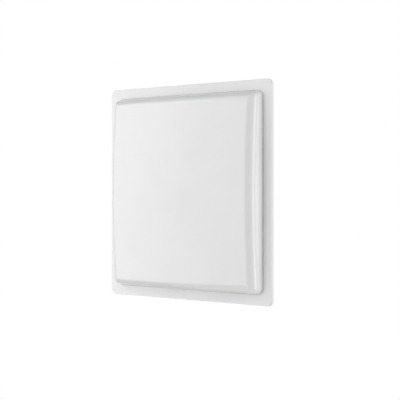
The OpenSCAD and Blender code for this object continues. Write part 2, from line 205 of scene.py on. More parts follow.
# %% Mould grain
def mould_grain_group():
    """Grain of a moulded skin: a fine noise with a slow swell under it, as a bump."""
    group, given, out = new_group(
        "mould_grain",
        {"Grain per metre": 1500.0, "Swell per metre": 14.0, "Grain height": 0.5,
         "Swell height": 0.5, "Strength": 0.05},
        {"Normal": "NodeSocketVector"})
    place = node(group, "ShaderNodeTexCoord")
    grain = node(group, "ShaderNodeTexNoise", Detail=3.0, Roughness=0.55)
    swell = node(group, "ShaderNodeTexNoise", Detail=1.0, Roughness=0.4)
    grain_part = node(group, "ShaderNodeMath", operation="MULTIPLY")
    swell_part = node(group, "ShaderNodeMath", operation="MULTIPLY")
    height = node(group, "ShaderNodeMath", operation="ADD")
    bump = node(group, "ShaderNodeBump", Distance=0.0004)
    link = group.links.new
    for noise, scale, part, amount in (
            (grain, "Grain per metre", grain_part, "Grain height"),
            (swell, "Swell per metre", swell_part, "Swell height")):
        link(place.outputs["Object"], noise.inputs["Vector"])
        link(given.outputs[scale], noise.inputs["Scale"])
        link(noise.outputs["Fac"], part.inputs[0])
        link(given.outputs[amount], part.inputs[1])
    link(grain_part.outputs[0], height.inputs[0])
    link(swell_part.outputs[0], height.inputs[1])
    link(height.outputs[0], bump.inputs["Height"])
    link(given.outputs["Strength"], bump.inputs["Strength"])
    link(bump.outputs["Normal"], out.inputs["Normal"])
    return group


GRAIN = mould_grain_group()
print(GRAIN.name, "takes", len(GRAIN.interface.items_tree) - 1, "values")

# %% [markdown]
# ### Handling
#
# Hands leave broad, soft, slightly duller patches, and dust leaves specks. A mask from 0 to
# 1 carries both, so each material decides for itself how far its colour and its roughness
# move. Painting the mask by hand would follow the real marks of one panel, and noise gives
# marks that suit any panel.

# %% Handling marks
def handling_group():
    """Marks of handling: broad soft clouds cut by finer specks, as a mask from 0 to 1."""
    group, given, out = new_group(
        "handling", {"Clouds per metre": 9.0, "Specks per metre": 260.0, "Specks": 0.3},
        {"Mask": "NodeSocketFloat"})
    place = node(group, "ShaderNodeTexCoord")
    clouds = node(group, "ShaderNodeTexNoise", Detail=4.0, Roughness=0.6, Distortion=0.4)
    specks = node(group, "ShaderNodeTexNoise", Detail=2.0, Roughness=0.7)
    soft = node(group, "ShaderNodeMapRange", From_Min=0.35, From_Max=0.7)
    sharp = node(group, "ShaderNodeMapRange", From_Min=0.6, From_Max=0.75)
    some = node(group, "ShaderNodeMath", operation="MULTIPLY")
    both = node(group, "ShaderNodeMath", operation="ADD", use_clamp=True)
    link = group.links.new
    link(place.outputs["Object"], clouds.inputs["Vector"])
    link(place.outputs["Object"], specks.inputs["Vector"])
    link(given.outputs["Clouds per metre"], clouds.inputs["Scale"])
    link(given.outputs["Specks per metre"], specks.inputs["Scale"])
    link(clouds.outputs["Fac"], soft.inputs["Value"])
    link(specks.outputs["Fac"], sharp.inputs["Value"])
    link(sharp.outputs["Result"], some.inputs[0])
    link(given.outputs["Specks"], some.inputs[1])
    link(soft.outputs["Result"], both.inputs[0])
    link(some.outputs[0], both.inputs[1])
    link(both.outputs[0], out.inputs["Mask"])
    return group


HANDLING = handling_group()
print(HANDLING.name, "takes", len(HANDLING.interface.items_tree) - 1, "values")

# %% [markdown]
# ### Brushed and rolled metal
#
# Rolled sheet and turned parts carry fine parallel lines. Real lines would need far too many
# faces. A noise whose coordinates are squeezed across the lines and stretched along them
# looks the same, as a bump and as a mask.

# %% Brushed lines
def brushed_group():
    """Lines left by a brush or a rolling mill along X: noise squeezed hard across the lines,
    as a mask and as a bump."""
    group, given, out = new_group(
        "brushed", {"Along": 12.0, "Across": 2600.0, "Strength": 0.12},
        {"Mask": "NodeSocketFloat", "Normal": "NodeSocketVector"})
    place = node(group, "ShaderNodeTexCoord")
    squeeze = node(group, "ShaderNodeCombineXYZ")
    stretched = node(group, "ShaderNodeVectorMath", operation="MULTIPLY")
    lines = node(group, "ShaderNodeTexNoise", Scale=1.0, Detail=3.0, Roughness=0.6)
    bump = node(group, "ShaderNodeBump", Distance=0.0001)
    link = group.links.new
    link(given.outputs["Along"], squeeze.inputs["X"])
    link(given.outputs["Across"], squeeze.inputs["Y"])
    link(given.outputs["Across"], squeeze.inputs["Z"])
    link(place.outputs["Object"], stretched.inputs[0])
    link(squeeze.outputs[0], stretched.inputs[1])
    link(stretched.outputs[0], lines.inputs["Vector"])
    link(lines.outputs["Fac"], bump.inputs["Height"])
    link(given.outputs["Strength"], bump.inputs["Strength"])
    link(lines.outputs["Fac"], out.inputs["Mask"])
    link(bump.outputs["Normal"], out.inputs["Normal"])
    return group


BRUSHED = brushed_group()
print(BRUSHED.name, "takes", len(BRUSHED.interface.items_tree) - 2, "values")

# %% [markdown]
# ## Finishes
#
# A finish starts from one recipe: a base colour that drifts a little where the surface has
# been handled, a roughness that rises there too, and a fine normal. Plastic takes its
# normal from the mould's grain and metal from the brushed lines. What stays the same all
# over a surface, such as the gloss level, is set on the shader's own sockets.

# %% Finish recipes
def place_group(tree, group, values):
    """Places a node group in a material and sets its inputs."""
    made = tree.nodes.new("ShaderNodeGroup")
    made.node_tree = group
    for label, value in values.items():
        made.inputs[label].default_value = value
    return made


def finish(name, color, worn, rough, rough_worn, effect, effect_values, marks=None, **shader):
    """A material from one recipe. color and worn are RGB for clean and handled skin, rough
    and rough_worn the matching roughness, effect the group that gives the normal."""
    material = bpy.data.materials.new(name)
    material.use_nodes = True
    tree = material.node_tree
    principled = tree.nodes["Principled BSDF"]
    for key, value in shader.items():
        principled.inputs[key.replace("_", " ")].default_value = value
    mask = place_group(tree, HANDLING, marks or {})
    skin = place_group(tree, effect, effect_values)
    tint = node(tree, "ShaderNodeMix", data_type="RGBA")
    tint.inputs["A"].default_value = (*color, 1)
    tint.inputs["B"].default_value = (*worn, 1)
    rub = node(tree, "ShaderNodeMapRange", To_Min=rough, To_Max=rough_worn)
    link = tree.links.new
    link(mask.outputs["Mask"], tint.inputs["Factor"])
    link(mask.outputs["Mask"], rub.inputs["Value"])
    link(tint.outputs["Result"], principled.inputs["Base Color"])
    link(rub.outputs["Result"], principled.inputs["Roughness"])
    link(skin.outputs["Normal"], principled.inputs["Normal"])
    return material


# %% [markdown]
# ### The panel's own finishes
#
# The shell is a clean, fairly glossy white, so it mirrors broad lights softly. The plate is
# dull rolled aluminium and the radiator a cleaner sheet of it. Small parts are zinc-plated
# steel, nickel, brass and gold. Each could be built node by node, but as one line each they
# can be compared at a glance.

# %% Plastics and metals
def plastic(name, color, worn, rough, rough_worn, **extra):
    """Moulded plastic: grain, slight handling marks and a dielectric gloss."""
    values = {"Strength": extra.pop("grain", 0.05)}
    return finish(name, color, worn, rough, rough_worn, GRAIN, values, **extra)


def metal(name, color, worn, rough, rough_worn, across=2600.0, strength=0.12, **extra):
    """Bare or plated metal: brushed lines, tarnish where it is handled."""
    values = {"Across": across, "Strength": strength}
    return finish(name, color, worn, rough, rough_worn, BRUSHED, values, Metallic=1.0, **extra)


WHITE_SHELL = plastic("white_shell", (0.83, 0.83, 0.83), (0.80, 0.80, 0.80), 0.15, 0.20,
                      marks={"Specks": 0.08}, grain=0.035, Specular_IOR_Level=0.5)
SHEET_METAL = metal("sheet_aluminium", (0.74, 0.75, 0.76), (0.62, 0.63, 0.64), 0.30, 0.45)
PATCH_METAL = metal("patch_aluminium", (0.80, 0.81, 0.82), (0.68, 0.69, 0.70), 0.24, 0.36)
ZINC = metal("zinc_plate", (0.66, 0.67, 0.69), (0.50, 0.50, 0.49), 0.22, 0.42, across=900.0,
             strength=0.05)
NICKEL = metal("nickel_plate", (0.71, 0.69, 0.64), (0.56, 0.54, 0.49), 0.14, 0.28,
               across=700.0, strength=0.03)
BRASS = metal("turned_brass", (0.78, 0.62, 0.33), (0.60, 0.45, 0.22), 0.20, 0.38,
              across=1200.0, strength=0.06)
GOLD = metal("gold_plate", (0.90, 0.68, 0.30), (0.82, 0.60, 0.26), 0.12, 0.20,
             across=900.0, strength=0.02)
COPPER = metal("copper_foil", (0.80, 0.44, 0.28), (0.58, 0.30, 0.19), 0.26, 0.44)
SOLDER = metal("solder", (0.68, 0.69, 0.70), (0.52, 0.52, 0.52), 0.20, 0.34, across=300.0,
               strength=0.04)
RUBBER = plastic("black_rubber", (0.025, 0.025, 0.026), (0.06, 0.06, 0.058), 0.62, 0.8,
                 grain=0.25)
NYLON = plastic("natural_nylon", (0.80, 0.78, 0.70), (0.72, 0.69, 0.60), 0.38, 0.5,
                grain=0.08, Subsurface_Weight=0.1)
PTFE = plastic("ptfe_bead", (0.88, 0.88, 0.86), (0.80, 0.80, 0.77), 0.34, 0.44, grain=0.05)
LAMINATE = plastic("solder_mask", (0.018, 0.12, 0.045), (0.03, 0.15, 0.06), 0.22, 0.34,
                   grain=0.06)
CERAMIC = plastic("black_ceramic", (0.02, 0.02, 0.021), (0.05, 0.05, 0.05), 0.5, 0.65,
                  grain=0.12)
VENT_FILM = plastic("vent_film", (0.82, 0.82, 0.80), (0.70, 0.70, 0.67), 0.8, 0.9, grain=0.3)
print("finishes:", len(bpy.data.materials))

# %% [markdown]
# ## The radome
#
# The radome is one white moulding: a lip round the plate's edge, a flat flange, a wall that
# leans in a little so that the mould lets go of it, a soft ridge, and a face that swells
# gently to its middle. It could be a subdivided cage, but then the flat flange and the even
# ridge would only be approximate. A stack of rounded squares follows the design exactly:
# each ring is a rounded square at some inset, and its depth comes from the profile plus
# the crown of the face.

# %% Rings of the dome
ARC_STEPS = 20
SIDE_STEPS = 60
MIN_CORNER = 1.2 * MM


def rounded_square(half, corner):
    """Points of a rounded square, anticlockwise as (x, z): four quarter circles of radius
    corner about the points (+-(half - corner), +-(half - corner)), joined by sides."""
    quarter = np.arange(4)
    signs = np.array([[1, 1], [-1, 1], [-1, -1], [1, -1]])
    centres = (half - corner) * signs
    arc = np.pi / 2 * (quarter[:, None] + np.arange(ARC_STEPS + 1) / ARC_STEPS)
    arcs = centres[:, None] + corner * np.stack([np.cos(arc), np.sin(arc)], -1)
    share = (np.arange(1, SIDE_STEPS) / SIDE_STEPS)[None, :, None]
    sides = arcs[:, -1:] + (np.roll(centres, -1, 0) - centres)[:, None] * share
    return np.concatenate([arcs, sides], 1).reshape(-1, 2)


def at_depth(points, depth):
    """(x, z) points as 3-D points at a depth, which may differ from point to point."""
    return np.stack([points[:, 0], np.broadcast_to(-depth, len(points)), points[:, 1]], -1)


def crown(points):
    """Height of the face above the flange: it falls with the square of the distance from
    the middle, by DOME_CROWN at the middle of a side."""
    return DOME_H - DOME_CROWN * (points ** 2).sum(1) / DOME_HALF ** 2


def dome_rows(foot_half, corner, fillet, sink, wall_rows=6, ridge_rows=28, face_rows=40):
    """Rings of one dome surface from the wall's foot to the middle of the face. The wall
    leans in by DOME_DRAFT; the ridge is an arc of radius fillet whose angle a runs from
    the draft to 90 degrees, with inset fillet (cos draft - cos a) and drop
    fillet (1 - sin a); the face is the last ridge ring shrunk to nothing."""
    lean = math.sin(DOME_DRAFT)
    run = math.tan(DOME_DRAFT) * (DOME_H - 1.5 * DOME_CROWN - fillet * (1 - lean))
    rows = []

    def add(inset, share, drop, scale=1.0):
        ring = scale * rounded_square(foot_half - inset, max(corner - inset, MIN_CORNER))
        rows.append(at_depth(ring, FLANGE_DEPTH - sink + share * (crown(ring) - drop)))

    for share in np.linspace(0.2, 1, wall_rows):
        add(run * share, share, fillet * (1 - lean))
    for a in np.linspace(DOME_DRAFT, math.pi / 2, ridge_rows + 1)[1:]:
        add(run + fillet * (math.cos(DOME_DRAFT) - math.cos(a)), 1, fillet * (1 - math.sin(a)))
    edge = run + fillet * math.cos(DOME_DRAFT)
    for scale in np.linspace(1, 0.02, face_rows)[1:]:
        add(edge, 1, 0, scale)
    return rows


print("points in one ring:", len(rounded_square(PANEL_HALF, PANEL_CORNER)))

# %% [markdown]
# The outside starts at the lip's heel and goes round the edge, whose sharp corner is broken
# by a small radius. It crosses the flange, dips through a narrow groove round the wall's
# foot and climbs the dome. The groove could be painted as a dark line, but a real one keeps
# its own shade from every side. The inside has the pocket for the plate and then the same
# dome, one wall's thickness further in.

# %% Radome shell
EDGE_ROUND = 0.6 * MM
HEEL_ROUND = 0.2 * MM
GROOVE_ROUND = 0.1 * MM


def outer_rows():
    """Rings from the lip's heel round the panel's edge, over the flange and through the
    groove at the wall's foot, whose four edges are broken by GROOVE_ROUND."""
    rows = []
    for a in np.linspace(0, math.pi / 2, 4):
        inset = HEEL_ROUND * (1 - math.sin(a))
        rows.append(at_depth(rounded_square(PANEL_HALF - inset, PANEL_CORNER - inset),
                             LIP_DEPTH + HEEL_ROUND * (1 - math.cos(a))))
    for a in np.linspace(0, math.pi / 2, 8):
        inset = EDGE_ROUND * (1 - math.cos(a))
        rows.append(at_depth(rounded_square(PANEL_HALF - inset, PANEL_CORNER - inset),
                             FLANGE_DEPTH - EDGE_ROUND * (1 - math.sin(a))))
    r = GROOVE_ROUND
    section = [(GROOVE_W + r, 0), (GROOVE_W, r), (GROOVE_W, GROOVE_D - r),
               (GROOVE_W - r, GROOVE_D), (r, GROOVE_D), (0, GROOVE_D - r), (0, 0)]
    for out, sink in section:
        rows.append(at_depth(rounded_square(DOME_HALF + out, DOME_CORNER + out),
                             FLANGE_DEPTH - sink))
    return rows + dome_rows(DOME_HALF, DOME_CORNER, DOME_FILLET, 0)


def inner_rows():
    """Rings of the inside: the pocket for the plate, its floor, and the dome's inner skin."""
    pocket = rounded_square(PANEL_HALF - LIP_T, PANEL_CORNER - LIP_T)
    mouth = rounded_square(DOME_HALF - WALL_T, DOME_CORNER - WALL_T)
    rows = [at_depth(pocket, LIP_DEPTH), at_depth(pocket, SKIN_DEPTH), at_depth(mouth, SKIN_DEPTH)]
    return rows + dome_rows(DOME_HALF - WALL_T, DOME_CORNER - WALL_T, DOME_FILLET - WALL_T,
                            WALL_T, wall_rows=3, ridge_rows=12, face_rows=14)


def revolve(profile, centre, n):
    """A profile of (radius, y) carried round an axis along Y through centre (x, z)."""
    turn = 2 * np.pi * np.arange(n) / n
    radius, y = np.asarray(profile, float).T
    x = centre[0] + radius[:, None] * np.cos(turn)
    z = centre[1] + radius[:, None] * np.sin(turn)
    return np.stack([x, np.broadcast_to(y[:, None], x.shape), z], -1)


shell = closed_skin(np.stack(inner_rows()[::-1] + outer_rows()))
print("shell:", len(shell[0]), "points")

# %% [markdown]
# Twelve screws pull the radome onto the plate. Each bites into a boss, a short pillar that
# the mould leaves behind the ridge. They stand on a square just inside the wall, three to
# a side, so one short rule gives all twelve places.

# %% Bosses and the radome piece
PLATE_T = -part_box("back_plate")[0].y
SCREW_D = 2.9 * MM
SCREW_L = -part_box("radome_screws")[0].y
BOSS_AT = DOME_HALF - DOME_FILLET + 1 * MM
BOSS_STEP = 0.76 * BOSS_AT
BOSS_R = 3 * MM
BOSS_SINK = 1.5 * MM


def screw_places():
    """Three places along one side, turned by quarter turns to the other three."""
    side = np.array([[s, BOSS_AT] for s in (-BOSS_STEP, 0, BOSS_STEP)])
    quarter = np.array([[0, 1], [-1, 0]])
    return np.vstack([side @ np.linalg.matrix_power(quarter, k) for k in range(4)])


def boss(place):
    """A pillar with a blind bore, as one turned profile."""
    top = -(FLANGE_DEPTH + crown(place[None])[0] - BOSS_SINK)
    bore_end = -(SCREW_L + 1 * MM)
    bore = SCREW_D / 2
    profile = [(bore, bore_end), (bore, -PLATE_T), (BOSS_R, -PLATE_T), (BOSS_R, top)]
    return closed_skin(revolve(profile, place, 24))


make_piece("radome_moulding", [shell] + [boss(p) for p in screw_places()], WHITE_SHELL,
           replaces=["radome"])

# %% [markdown]
# ## Threads
#
# A thread is a groove that climbs as it goes round. Carrying a tooth along a helix works,
# but its ends are hard to close. Instead the whole shank is one grid, and the helix is in
# the radius: at each height and angle, the place within one pitch says how deep the groove
# is there. Both ends then stay plain rings that close like any turned part.

# %% Threaded shanks
def tooth(phase):
    """Groove depth from 0 at a crest to 1 at a root, for a place within one pitch: a
    triangle wave with its crest and its root cut flat."""
    wave = np.abs(2 * (phase % 1) - 1)
    return np.clip((wave - 0.14) / 0.66, 0, 1)


def threaded_rows(radius, pitch, depth, start, end, n, chamfer=0.0, rows_per_turn=10):
    """(rows, n) of radius and y for a right-hand thread from y = start to y = end:
    radius - depth tooth(y / pitch + angle / 2 pi), fading in over half a pitch at the
    start, under a 45 degree cone at the end."""
    y = np.linspace(start, end, int(abs(end - start) / pitch * rows_per_turn) + 1)[:, None]
    turn = np.arange(n)[None, :] / n
    fade = np.clip(np.abs(y - start) / (0.5 * pitch), 0, 1)
    radii = radius - depth * fade * tooth(y / pitch + turn)
    cone = radius - chamfer + np.abs(end - y)
    return np.minimum(radii, cone), np.broadcast_to(y, radii.shape)


def turned_grid(rows, centre):
    """A grid round an axis along Y from a list of (radius, y) pairs, where each pair holds
    either two numbers, for a plain ring, or two arrays, for rows of a thread."""
    n = max(np.shape(radius)[1] for radius, _ in rows if np.ndim(radius) == 2)
    full = [np.broadcast_to(np.atleast_2d(v), (np.atleast_2d(v).shape[0], n))
            for pair in rows for v in pair]
    radius, y = np.vstack(full[0::2]), np.vstack(full[1::2])
    turn = 2 * np.pi * np.arange(n) / n
    return np.stack([centre[0] + radius * np.cos(turn), y, centre[1] + radius * np.sin(turn)], -1)


print("groove depth at 0, 1/4 and 1/2 pitch:", tooth(np.array([0, 0.25, 0.5])).round(2))

# %% [markdown]
# ## Mounting studs
#
# The studs are pressed into the plate from inside. A low head stays inside, a collar fills
# the plate's hole, and 18 mm of M6 thread stands out of the back for the bracket's nuts.

# %% Studs
stud_lo, stud_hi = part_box("mounting_studs")
STUD_R = 3 * MM
STUD_PITCH = 1 * MM
STUD_GROOVE = 0.61 * MM
STUD_HEAD_R = 4.5 * MM
STUD_HEAD_ROUND = 0.3 * MM
STUD_COLLAR = 0.5 * MM
STUD_RUN_IN = 0.3 * MM
STUD_TIP = 0.7 * MM
STUD_AT = stud_hi.x - STUD_HEAD_R


def stud(centre):
    """A turned profile, head, collar and shank, whose shank is threaded rows."""
    collar_r = STUD_R + STUD_COLLAR
    head = [(STUD_HEAD_R - STUD_HEAD_ROUND, stud_lo.y), (STUD_HEAD_R, stud_lo.y + STUD_HEAD_ROUND),
            (STUD_HEAD_R, -PLATE_T), (collar_r, -PLATE_T), (collar_r, 0), (STUD_R, 0)]
    thread = threaded_rows(STUD_R, STUD_PITCH, STUD_GROOVE, STUD_RUN_IN, stud_hi.y, 40,
                           chamfer=STUD_TIP)
    return closed_skin(turned_grid(head + [thread], centre))


corners = [(sx * STUD_AT, sz * STUD_AT) for sx in (-1, 1) for sz in (-1, 1)]
make_piece("threaded_studs", [stud(c) for c in corners], ZINC,
           replaces=["mounting_studs"])

# %% [markdown]
# ## Screws
#
# All the screws share one recipe: a threaded shank and a head with a crosswise recess. The
# recess could be cut with a boolean, but a boolean leaves a ragged fan of faces. Here the
# head is a fine polar grid, and the recess is part of its height: a smooth step that is
# deep inside the cross and flat outside it.

# %% Heads with a cross recess
def cross(x, z, reach, width, edge):
    """1 inside a plus sign of half length reach and half width width, 0 outside, with a
    straight slope of width edge between: the larger of two soft-edged bars."""
    def bar(a, b):
        return (np.clip((a - np.abs(x)) / edge + 0.5, 0, 1)
                * np.clip((b - np.abs(z)) / edge + 0.5, 0, 1))
    return np.maximum(bar(reach, width), bar(width, reach))


def head_rows(radius, height, rim, n, rows=36):
    """Rows of a head's top from its rim inwards, as radius and height over the seat. The
    top is domed by a cosine from the rim's height to the full height, less the recess."""
    r = radius * np.linspace(1, 0.02, rows)[:, None]
    turn = 2 * np.pi * np.arange(n)[None, :] / n
    dome = rim + (height - rim) * np.cos(np.pi / 2 * r / radius) ** 0.6
    recess = cross(r * np.cos(turn), r * np.sin(turn), 0.56 * radius, 0.15 * radius,
                   0.14 * radius)
    depth = 0.34 * radius * (1.25 - r / radius)
    return np.broadcast_to(r, (rows, n)), dome - depth * recess


FLAT_TOP = 0.02 * MM


def screw(centre, seat, out, shank, pitch, length, head_r, head_h, n=48, sunk=False):
    """A screw along Y. out is +1 if its head faces +Y. Heights count from the seat, which
    for a sunk head is the flat top of its cone."""
    rim = 0 if sunk else 0.45 * head_h
    radii, heights = head_rows(head_r, FLAT_TOP if sunk else head_h, rim, n)
    cone = head_r - shank if sunk else 0
    thread_r, thread_y = threaded_rows(shank, pitch, 0.2 * shank, -cone, -length, n,
                                       chamfer=0.5 * shank, rows_per_turn=8)
    body = [(thread_r[::-1], seat + out * thread_y[::-1])]
    if not sunk:
        body += [(head_r * 0.96, seat), (head_r, seat + out * 0.08 * head_h)]
    body += [(head_r, seat + out * (0 if sunk else 0.42 * head_h)), (radii, seat + out * heights)]
    return closed_skin(turned_grid(body, centre))


print("a head's grid, rows and points round:", head_rows(1, 1, 0.45, 48)[1].shape)

# %% [markdown]
# Four kinds of screw come from the recipe. Sunk screws hold the radome and lie flush with
# the plate. Pan heads hold the jack, the feed board and the radiator. Their places come from
# the boxes of the CAD nodes that they replace, so nothing has to be typed twice.

# %% Screws of the radome and the jack
jack_lo, jack_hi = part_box("jack_shell")
screw_lo, screw_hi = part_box("jack_screws")
JACK_Z = (jack_lo.z + jack_hi.z) / 2
JACK_PITCH = 18.26 * MM
JACK_SEAT = 3.3 * MM
M3_R = 1.5 * MM
M3_HEAD_R = screw_hi.x - JACK_PITCH / 2
M3_HEAD_H = screw_hi.y - JACK_SEAT
SHANK_GAP = 0.05 * MM
jack_corners = [(sx * JACK_PITCH / 2, JACK_Z + sz * JACK_PITCH / 2)
                for sx in (-1, 1) for sz in (-1, 1)]
make_piece(
    "cross_recess_screws",
    [screw(p, 0, 1, SCREW_D / 2 - SHANK_GAP, 1.1 * MM, SCREW_L, 0.95 * SCREW_D, 0, sunk=True)
     for p in screw_places()], ZINC, replaces=["radome_screws"], sharp=28)
make_piece(
    "jack_flange_screws",
    [screw(p, JACK_SEAT, 1, M3_R, 0.5 * MM, JACK_SEAT - screw_lo.y, M3_HEAD_R, M3_HEAD_H, n=40)
     for p in jack_corners], ZINC, replaces=["jack_screws"], sharp=28)

# %% [markdown]
# The board's screws and the radiator's screw are driven from the dome's side, so their heads
# face the other way.

# %% Screws of the feed board and the radiator
board_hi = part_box("board_screws")[1]
BOARD_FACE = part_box("feed_board")[0].y
BOARD_AT = board_hi.x - M3_HEAD_R
board_corners = [(sx * BOARD_AT, sz * BOARD_AT) for sx in (-1, 1) for sz in (-1, 1)]
make_piece(
    "feed_board_screws",
    [screw(p, BOARD_FACE, -1, M3_R, 0.5 * MM, board_hi.y - BOARD_FACE, M3_HEAD_R, M3_HEAD_H)
     for p in board_corners], ZINC, replaces=["board_screws"], sharp=28)

post_lo, post_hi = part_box("post_screw")
POST_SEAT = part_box("post_washer")[0].y
make_piece(
    "radiator_screw",
    [screw((0, 0), POST_SEAT, -1, 2 * MM, 0.7 * MM, post_hi.y - POST_SEAT, post_hi.x,
           POST_SEAT - post_lo.y)], ZINC, replaces=["post_screw"], sharp=28)

# %% [markdown]
# ## The coaxial jack
#
# A plug's coupling nut screws onto the jack. It has a square flange with four holes, a
# threaded barrel with a smooth socket inside, a white insulating bead at the socket's
# bottom and a split gold contact in the middle. The bead and the contact are simple turned
# shapes that the CAD model already has. The flange is flat with holes in it, so its faces
# come from its outlines; the barrel is turned, with the helix in its radius.

# %% A flat slab with holes
def circle(centre, radius, n=40):
    """A circle as clockwise (x, z) points."""
    turn = -2 * np.pi * np.arange(n) / n
    return np.stack([centre[0] + radius * np.cos(turn), centre[1] + radius * np.sin(turn)], -1)


def pierced_slab(loops, low, high, bevel):
    """A slab along Y from low to high. Each loop is a function of an inset that gives its
    points; the first is the outline and the others are holes. A loop's wall has a bevel at
    each end, and the flat faces between the loops are triangulated."""
    verts, quads, caps, first = [], [], [[], []], 0
    for loop in loops:
        levels = [(bevel, low), (0, low + bevel), (0, high - bevel), (bevel, high)]
        rings = [np.insert(loop(inset), 1, y, axis=1) for inset, y in levels]
        n = len(rings[0])
        here, beside = np.arange(n), (np.arange(n) + 1) % n
        for level in range(3):
            a = first + level * n
            quads.append(np.stack([a + here, a + beside, a + n + beside, a + n + here], -1))
        for side, ring in ((0, rings[0]), (1, rings[3])):
            caps[side].append((ring, first + 3 * n * side))
        verts += rings
        first += 4 * n
    tris = []
    for side in (0, 1):
        index = np.concatenate([start + np.arange(len(ring)) for ring, start in caps[side]])
        flat = [[Vector((p[0], p[2], 0)) for p in ring] for ring, _ in caps[side]]
        faces = index[np.array(tessellate_polygon(flat))]
        tris.append(faces_towards(np.vstack(verts), faces, 1 if side else -1))
    return np.vstack(verts), np.vstack(quads), np.vstack(tris)


def faces_towards(verts, tris, sign):
    """The triangles, each turned so that its normal's y has the given sign."""
    a, b, c = verts[tris[:, 0]], verts[tris[:, 1]], verts[tris[:, 2]]
    wrong = np.cross(b - a, c - a)[:, 1] * sign < 0
    return np.where(wrong[:, None], tris[:, ::-1], tris)


print("a hole has", len(circle((0, 0), 1)), "points by default")

# %% [markdown]
# The jack's body is nickel-plated brass. Its flange is the slab with its outline and five
# holes. Its barrel is one turned ring that runs up the outside and back down the socket, so
# the thread, the rounded rim and the bore belong to one clean grid.

# %% Jack body
FLANGE_LOW = 0.5 * MM
FLANGE_HALF = jack_hi.x
FLANGE_CORNER = 2 * MM
JACK_END = jack_hi.y
BARREL_R = 7.94 * MM
NECK_R = 6.94 * MM
BARREL_START = JACK_SEAT + 2 * MM
JACK_THREAD_PITCH = 25.4 * MM / 24
JACK_GROOVE = 0.62 * MM
SOCKET_R = 4.05 * MM
SOCKET_END = JACK_END - 9.1 * MM
BEAD_R = 3.5 * MM
PILOT_R = 5.5 * MM
RIM_ROUND = 0.3 * MM
RIM_CUT = 0.75 * MM
PRESS_IN = 0.1 * MM
SCREW_CLEAR = 0.1 * MM


def outline(inset):
    """The flange's outline, moved to the jack's place; its points run anticlockwise."""
    return rounded_square(FLANGE_HALF - inset, FLANGE_CORNER - inset) + [0, JACK_Z]


def middle(inset):
    """The hole that the barrel's pilot fills; it grows with the inset, as a hole does."""
    return circle((0, JACK_Z), PILOT_R - PRESS_IN + inset, 64)


def flange():
    """A square slab with rounded corners, the middle hole and a hole for each screw."""
    holes = [lambda inset, c=c: circle(c, M3_R + SCREW_CLEAR + inset, 28) for c in jack_corners]
    return pierced_slab([outline, middle] + holes, FLANGE_LOW, JACK_SEAT, 0.25 * MM)


def barrel():
    """One turned ring: up the outside over the thread, over the mouth's rounded rim, down
    the socket, through the bead's bore and back along the pilot."""
    thread = threaded_rows(BARREL_R, JACK_THREAD_PITCH, JACK_GROOVE, BARREL_START,
                           JACK_END - 0.15 * MM, 96, chamfer=0.6 * MM, rows_per_turn=12)
    rows = [(PILOT_R, jack_lo.y), (PILOT_R, JACK_SEAT - 0.2 * MM), (NECK_R, JACK_SEAT),
            (NECK_R, BARREL_START), thread, (BARREL_R - RIM_CUT, JACK_END),
            (SOCKET_R + RIM_ROUND, JACK_END), (SOCKET_R, JACK_END - RIM_ROUND),
            (SOCKET_R, SOCKET_END), (BEAD_R, SOCKET_END), (BEAD_R, jack_lo.y)]
    return ring_tube(turned_grid(rows, (0, JACK_Z)))


make_piece("jack_body", [flange(), barrel()], NICKEL, replaces=["jack_shell"])

# %% [markdown]
# ## Solder
#
# Molten solder climbs a pin and dries as a hollow-sided cone. The CAD model has straight
# cones. The curve here is the square of the distance from the top, which leaves a thin
# foot that runs out flat on the copper.

# %% Solder joints
SOLDER_H = 0.8 * MM
SOLDER_FOOT = 1 * MM
PROBE_AT = 36 * MM
PROBE_R = 1 * MM
PIN_R = 0.65 * MM
TRACE_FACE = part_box("feed_traces")[0].y
PATCH_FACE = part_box("radiating_patch")[0].y


def solder_joint(pin_r, centre, base):
    """A ring round a pin: radius = pin + 0.3 foot + 0.7 foot (1 - h)^2 at height h."""
    h = np.linspace(0, 1, 10)
    side = pin_r + SOLDER_FOOT * (0.3 + 0.7 * (1 - h) ** 2)
    profile = np.stack([side, base - SOLDER_H * h], -1)
    bore = [(pin_r + 0.05 * MM, base - SOLDER_H), (pin_r + 0.05 * MM, base)]
    return ring_tube(revolve(np.vstack([profile, bore]), centre, 32))


probe_places = [(PROBE_AT, 0), (0, PROBE_AT)]
joints = [solder_joint(PROBE_R, p, base)
          for p in probe_places for base in (TRACE_FACE, PATCH_FACE)]
joints.append(solder_joint(PIN_R, (0, JACK_Z), TRACE_FACE))
make_piece("solder_fillets", joints, SOLDER, replaces=["solder_joints"])

# %% [markdown]
# ## The blank label
#
# The label is a thin film with a printed frame and empty fields, and no words. Lines this
# thin need no geometry: a few comparisons on the object coordinates draw them.

# %% Label material
label_lo, label_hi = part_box("rating_label")
LABEL_MARGIN = 3 * MM
FRAME_LINE = 0.2 * MM
FIELD_LINE = 0.12 * MM


